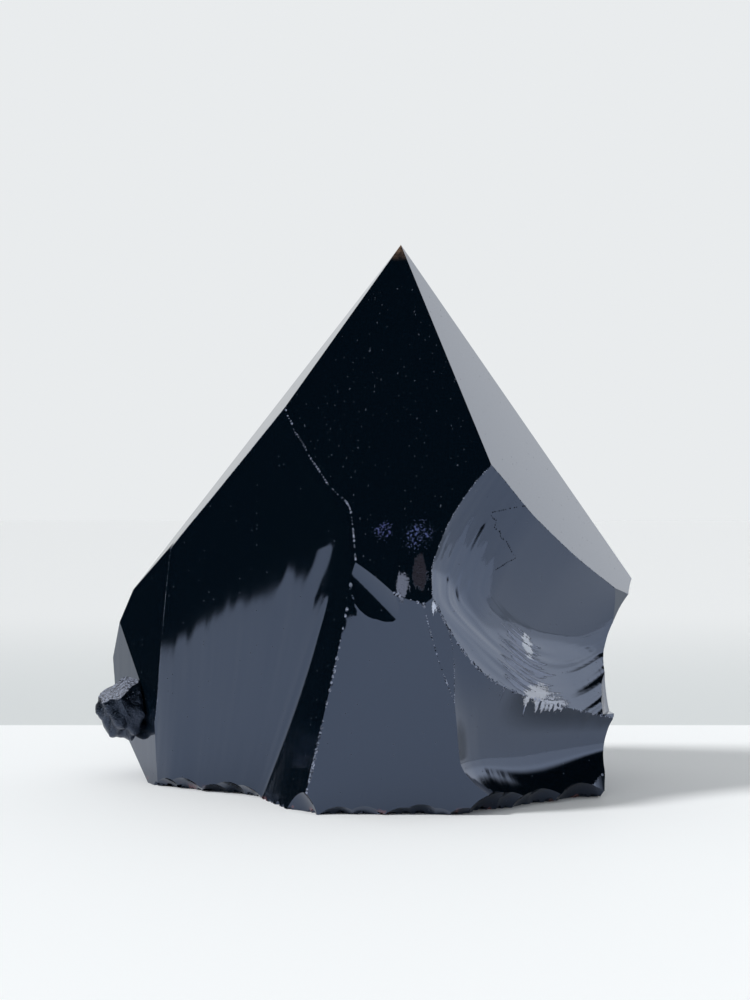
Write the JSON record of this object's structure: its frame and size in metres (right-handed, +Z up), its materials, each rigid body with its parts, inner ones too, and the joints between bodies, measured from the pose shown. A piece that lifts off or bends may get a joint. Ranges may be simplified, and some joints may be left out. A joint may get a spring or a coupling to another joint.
{
  "type": "polished obsidian point",
  "caption": "Free-standing black obsidian point: flat polished facets meeting in a sharp tip above raw shell-like broken sides, on a flat sawn base.",
  "frame": {"origin": "middle of the bounding box's bottom face, on the plane that the stone stands on", "axes": "+Z up to the tip, -Y towards the broken front with the pillar, +X to the right as seen from the front"},
  "size_m": [0.1022, 0.065, 0.0996],
  "materials": {
    "obsidian": "polished, opaque black volcanic glass"
  },
  "bodies": {
    "root": {"obsidian_point": "obsidian"}
  },
  "joints": []
}
